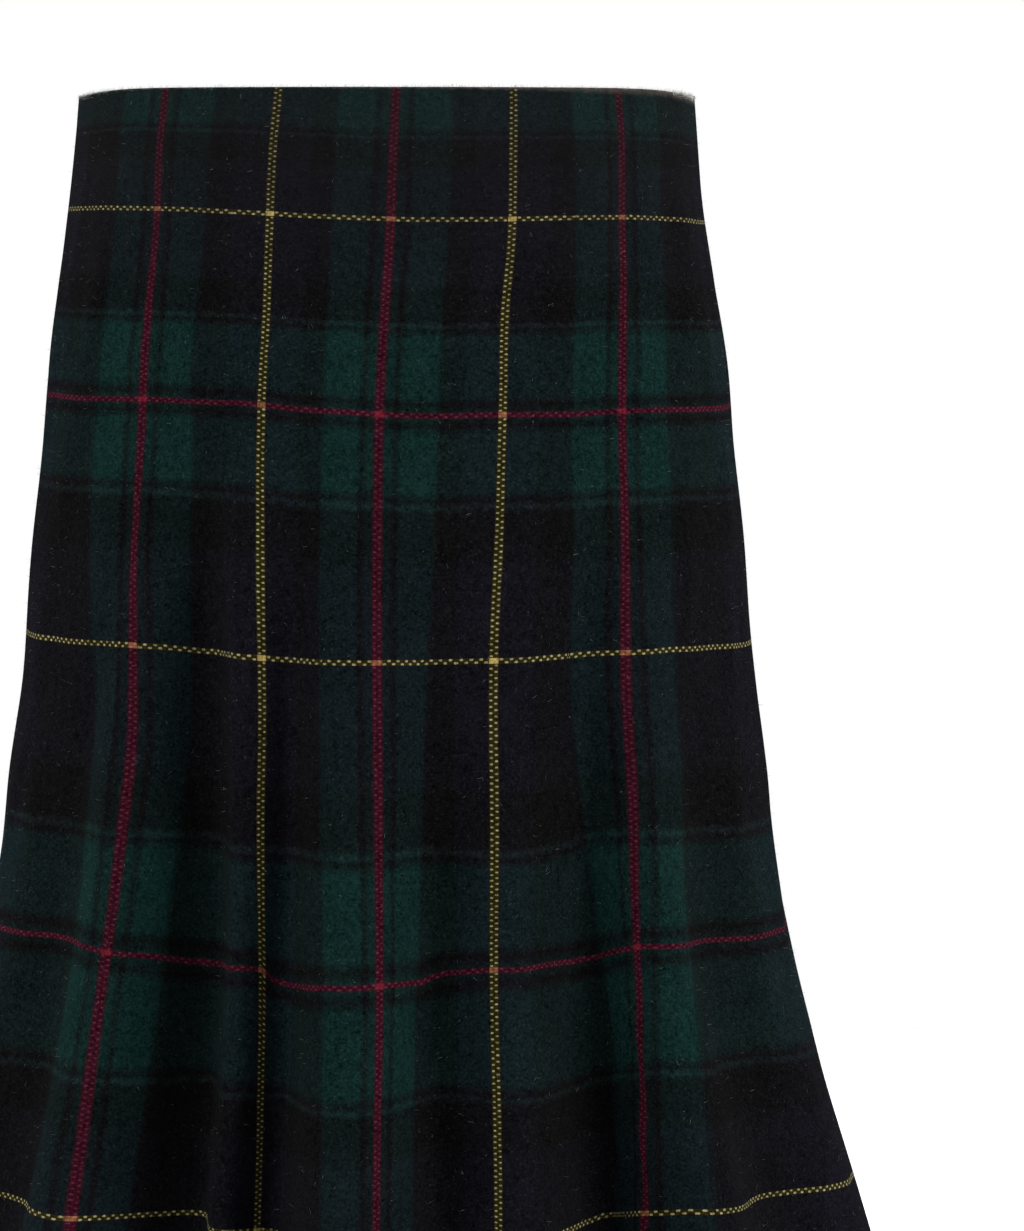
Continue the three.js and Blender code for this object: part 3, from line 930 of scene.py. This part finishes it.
def makeMetalMaterial():
    material, shader, wire = newMaterial("black enamel", 0.34, 0.5, metallic=0.2)
    body = ownPlace(wire)
    cloud = body.noise(zipHead["cloud"])
    wearAndRimHighlight = body.noise(zipHead["scratches"]).soft(0.62, 0.72)
    feed(wearAndRimHighlight.blend(four(zipHead["enamel"]), four(zipHead["worn"])), shader, "Base Color")
    feed(0.28 + cloud * 0.18, shader, "Roughness")
    feed(bump(wire, cloud + wearAndRimHighlight * -0.3, 0.15, 0.03 * mm), shader, "Normal")
    return material


def makeThreadMaterial():
    material, shader, wire = newMaterial("sewing thread", 0.7, 0.3)
    twist = wire.node("ShaderNodeTexWave", {}, {"Vector": ownPlace(wire), **zipCoil["twist"]})
    feed(twist.blend(four(zipCoil["dark"]), four(zipCoil["pale"])), shader, "Base Color")
    feed(bump(wire, twist, 0.4, 0.05 * mm), shader, "Normal")
    return material


def makeTape(name, side, node, material):
    tape = zipTapes
    shape = bmesh.new()
    bmesh.ops.create_grid(shape, x_segments=tape["columns"], y_segments=tape["rows"], size=0.5,
                          calc_uvs=False)
    uv = shape.loops.layers.uv.new("tape")
    width, length = tape["far"] - tape["near"], tape["end"] - tape["top"]
    for face in shape.faces:
        for loop in face.loops:
            across, down = loop.vert.co.x + 0.5, 0.5 - loop.vert.co.y
            loop[uv].uv = (across * width, down * length)
    grid = numpy.array([vert.co for vert in shape.verts])
    down = tape["top"] + (0.5 - grid[:, 1]) * length
    # Both tapes face out of the cloth, so their near edges are on opposite sides of the grid
    share = grid[:, 0] + 0.5
    distance = tape["near"] + share * width if side > 0 else -tape["far"] + share * width
    points = clothPoint(besideZip(distance, down), down, tape["lift"]) * mm
    for vert, point in zip(shape.verts, points):
        vert.co = point
    faceOut(shape)
    if shape.faces[0].normal.y < 0:
        bmesh.ops.reverse_faces(shape, faces=shape.faces[:])
    piece = finishPiece(name, shape, material, "skirt", (node,))
    thicken(piece, "tape thickness", tape["thickness"])
    print(f"{name}: flat {width * mm:.4f} x {length * mm:.3f} m")


# A coil of one wire, wound beside the seam; the two coils mesh half a turn apart
def makeCoil(name, side, material):
    coil = zipCoil
    steps = int((coil["last"] - coil["first"]) / coil["pitch"]) * coil["stepsPerTurn"]
    index = numpy.arange(steps)
    angle = index / coil["stepsPerTurn"] * 2 * math.pi
    start = 0 if side > 0 else coil["pitch"] / 2
    down = coil["first"] + start + index / coil["stepsPerTurn"] * coil["pitch"]
    distance = side * (coil["centre"] + coil["halfWidth"] * numpy.cos(angle))
    lift = coil["lift"] + coil["halfDepth"] * numpy.sin(angle)
    points = clothPoint(besideZip(distance, down), down, lift) * mm
    curve = bpy.data.curves.new(name, "CURVE")
    curve.dimensions = "3D"
    curve.bevel_depth = coil["wire"] * mm
    curve.bevel_resolution = 1
    curve.use_fill_caps = True
    spline = curve.splines.new("POLY")
    spline.points.add(steps - 1)
    for point, place in zip(spline.points, points):
        point.co = (*place, 1)
    wound = bpy.data.objects.new(name + "_path", curve)
    scene.collection.objects.link(wound)
    shape = applied(wound)
    faceOut(shape)
    finishPiece(name, shape, material, "skirt", sharpAngle=80)


def makeZipStitches(material):
    tape = zipTapes
    shape = bmesh.new()
    for side in (-1, 1):
        down = tape["top"] + 3
        while down < tape["end"] - 3:
            ends = [Vector(clothPoint(besideZip(side * tape["stitchAt"], level), level,
                                      tape["lift"] - tape["thickness"] - 0.05))
                    for level in (numpy.array(down), numpy.array(down + tape["stitchLength"]))]
            run = ends[1] - ends[0]
            turned = run.to_track_quat("Z", "Y").to_matrix().to_4x4()
            radius = tape["stitchRadius"]
            place = Matrix.Translation((ends[0] + ends[1]) / 2 * mm) @ turned
            place = place @ Matrix.Diagonal((radius * mm, radius * mm, run.length / 2 * mm, 1))
            bmesh.ops.create_uvsphere(shape, u_segments=6, v_segments=5, radius=1, matrix=place)
            down += tape["stitchPitch"]
    finishPiece("zip_stitches", shape, material, "skirt", sharpAngle=80)


# A box in the slider's own place, sized and set in millimetres
def addBlock(shape, size, centre):
    place = Matrix.Translation(centre) @ Matrix.Diagonal((*size, 1))
    return bmesh.ops.create_cube(shape, size=1, matrix=place)["verts"]


def roundEdges(shape, offset, segments):
    edges = [edge for edge in shape.edges if edge.calc_face_angle(0) > 0.6]
    bmesh.ops.bevel(shape, geom=edges, offset=offset, segments=segments, profile=0.5, affect="EDGES",
                    material=-1, clamp_overlap=True)


def finishHead(name, shape, edgeRadius, body, node, place, material):
    faceOut(shape)
    roundEdges(shape, edgeRadius, 3)
    bmesh.ops.transform(shape, matrix=place, verts=shape.verts[:])
    faceOut(shape)
    finishPiece(name, shape, material, body, (node,))


def makeSlider(place, material):
    part = zipHead
    shape = bmesh.new()
    plate = addBlock(shape, (part["plateWidth"], part["plateHeight"], part["plateThickness"]),
                     (0, 0, part["plateLift"]))
    railTop = part["plateLift"] + part["plateThickness"] / 2 + part["railHeight"]
    rails = []
    railSize = (part["railWidth"], part["plateHeight"] * 0.9, part["railHeight"] * 2)
    for side in (-1, 1):
        aside = side * (part["plateWidth"] - part["railWidth"]) / 2
        rails += addBlock(shape, railSize, (aside, 0, railTop - part["railHeight"]))
    # Its lower end is narrower, where the closed tapes run out
    for vert in plate + rails:
        if vert.co.y < 0:
            vert.co.x *= part["plateTaper"]
    neckBottom = part["plateLift"]
    addBlock(shape, (part["neckWidth"], part["neckHeight"], part["neckTop"] - neckBottom),
             (0, 0, (part["neckTop"] + neckBottom) / 2))
    # The bridge is a strip spun half round over the pull tab's bar
    middle = (part["bridgeInside"] + part["bridgeOutside"]) / 2
    thickness = part["bridgeOutside"] - part["bridgeInside"]
    strip = bmesh.ops.create_grid(shape, x_segments=1, y_segments=1, size=0.5,
                                  matrix=Matrix.Translation((0, middle, part["bridgeCentre"]))
                                  @ Matrix.Diagonal((part["bridgeWidth"], thickness, 1, 1)))["verts"]
    face = strip[0].link_faces[0]
    bmesh.ops.spin(shape, geom=strip + list(face.edges) + [face], cent=(0, 0, part["bridgeCentre"]),
                   axis=(1, 0, 0), angle=math.pi, steps=14)
    openEdges = [edge for edge in shape.edges if edge.is_boundary]
    if openEdges:
        bmesh.ops.holes_fill(shape, edges=openEdges)
    finishHead("zip_slider_body", shape, part["edgeRadius"], "skirt", "zip_slider", place, material)


# A round-ended tab: an outer ring and a window ring, bridged and given their thickness
def makePullTab(place, material):
    part = zipHead
    half, bar = part["tabThickness"] / 2, part["tabThickness"] / 2
    shape = bmesh.new()
    rings = []
    for inner in (False, True):
        ring = bmesh.ops.create_circle(shape, cap_ends=False, segments=40, radius=1)["verts"]
        width = part["windowWidth"] / 2 if inner else part["tabBottomWidth"] / 2
        topWidth = width if inner else part["tabTopWidth"] / 2
        top = -bar if inner else bar
        bottom = -bar - part["windowLength"] if inner else -part["tabLength"]
        corner = part["windowCorner"] if inner else part["tabCorner"]
        low = part["windowLow"] if inner else width
        for vert in ring:
            x, y = vert.co.x, vert.co.y
            if y > 0:
                # The upper corners are squarer than the round end below
                squared = math.copysign(abs(x) ** part["cornerSquareness"], x)
                vert.co = (squared * topWidth, top - corner * (1 - y ** 0.8), 0)
            else:
                vert.co = (x * width, bottom + low * (1 + y), 0)
        rings.append([edge for edge in shape.edges if edge.verts[0] in ring])
    bmesh.ops.bridge_loops(shape, edges=rings[0] + rings[1])
    faces = shape.faces[:]
    raised = bmesh.ops.extrude_face_region(shape, geom=faces, use_keep_orig=True)
    bmesh.ops.translate(shape, vec=(0, 0, part["tabThickness"]),
                        verts=[item for item in raised["geom"] if isinstance(item, bmesh.types.BMVert)])
    bmesh.ops.translate(shape, vec=(0, 0, part["barLift"] - half), verts=shape.verts[:])
    finishHead("zip_tab", shape, part["tabEdgeRadius"], "pull_tab", "zip_pull_tab", place, material)


def makeBottomStop(material):
    level = numpy.array(float(zipCoil["last"]) + 1)
    middle = Vector(clothPoint(numpy.array(float(zipTapes["seam"])), level, zipCoil["lift"])) * mm
    shape = bmesh.new()
    addBlock(shape, [side * mm for side in zipCoil["stopSize"]], middle)
    roundEdges(shape, zipCoil["stopEdgeRadius"] * mm, 3)
    finishPiece("zip_bottom_stop", shape, material, "skirt")


def makeZip():
    tapeWeave, enamel, thread = makeTapeMaterial(), makeMetalMaterial(), makeThreadMaterial()
    for side, hand in ((-1, "left"), (1, "right")):
        makeTape("zip_tape_woven_" + hand, side, "zip_tape_" + hand, tapeWeave)
        makeCoil("zip_coil_" + hand, side, thread)
    makeZipStitches(thread)
    makeSlider(zipPlace(), enamel)
    makePullTab(zipPlace(), enamel)
    makeBottomStop(enamel)


makeZip()
print("the zip is made")


# The floor, the light and the camera
studio = {
    "floorLevel": -1.05,
    "floorSize": 7.6,
    "floorColour": (0.92, 0.92, 0.92),
    "world": 0.105,
    "domeRadius": 14,
    "domeGlow": 1.0,
    # name, place, aim, width, height, power
    "lights": [
        ("left light", (-2.8, -1.8, 1.1), (0, 0, -0.3), 1.8, 1.8, 80),
        ("right light", (2.9, -1.7, 0.9), (0, 0, -0.3), 1.8, 1.8, 92),
        ("floor light", (0, 2.2, 2.2), (0, 2.8, -1), 5, 4, 260),
    ],
    "cameraPlace": (0, -2.4, -0.0395),
    "cameraAim": (0.0564, 0, -0.2387),
    "lens": 154.4,
}


def aimed(place, aim):
    turn = (Vector(aim) - Vector(place)).to_track_quat("-Z", "Y")
    return Matrix.Translation(place) @ turn.to_matrix().to_4x4()


def makeStudio():
    shape = bmesh.new()
    bmesh.ops.create_grid(shape, x_segments=1, y_segments=1, size=studio["floorSize"] / 2,
                          matrix=Matrix.Translation((0, 0, studio["floorLevel"])))
    floor = newObject("floor", shape)
    material, shader, wire = newMaterial("pale floor", 0.9, 0.1)
    shader.inputs["Base Color"].default_value = four(studio["floorColour"])
    floor.data.materials.append(material)

    # A pale dome that only the camera sees, so that the soft light comes from the world and the lamps
    shape = bmesh.new()
    bmesh.ops.create_uvsphere(shape, u_segments=48, v_segments=24, radius=studio["domeRadius"])
    dome = newObject("dome", shape)
    material, shader, wire = newMaterial("dome glow", 1.0, 0.0)
    shader.inputs["Base Color"].default_value = (0, 0, 0, 1)
    shader.inputs["Emission Color"].default_value = (1, 1, 1, 1)
    shader.inputs["Emission Strength"].default_value = studio["domeGlow"]
    dome.data.materials.append(material)
    dome.visible_diffuse = dome.visible_glossy = dome.visible_shadow = dome.visible_transmission = False
    world = bpy.data.worlds.new("studio")
    world.use_nodes = True
    background = world.node_tree.nodes["Background"]
    background.inputs["Color"].default_value = (1, 1, 1, 1)
    background.inputs["Strength"].default_value = studio["world"]
    scene.world = world
    for name, place, aim, width, height, power in studio["lights"]:
        lamp = bpy.data.lights.new(name, "AREA")
        lamp.shape = "RECTANGLE"
        lamp.size, lamp.size_y, lamp.energy = width, height, power
        light = bpy.data.objects.new(name, lamp)
        light.matrix_world = aimed(place, aim)
        scene.collection.objects.link(light)
    lens = bpy.data.cameras.new("camera")
    lens.lens = studio["lens"]
    camera = bpy.data.objects.new("camera", lens)
    camera.matrix_world = aimed(studio["cameraPlace"], studio["cameraAim"])
    scene.collection.objects.link(camera)
    scene.camera = camera


makeStudio()
print("the studio is set")
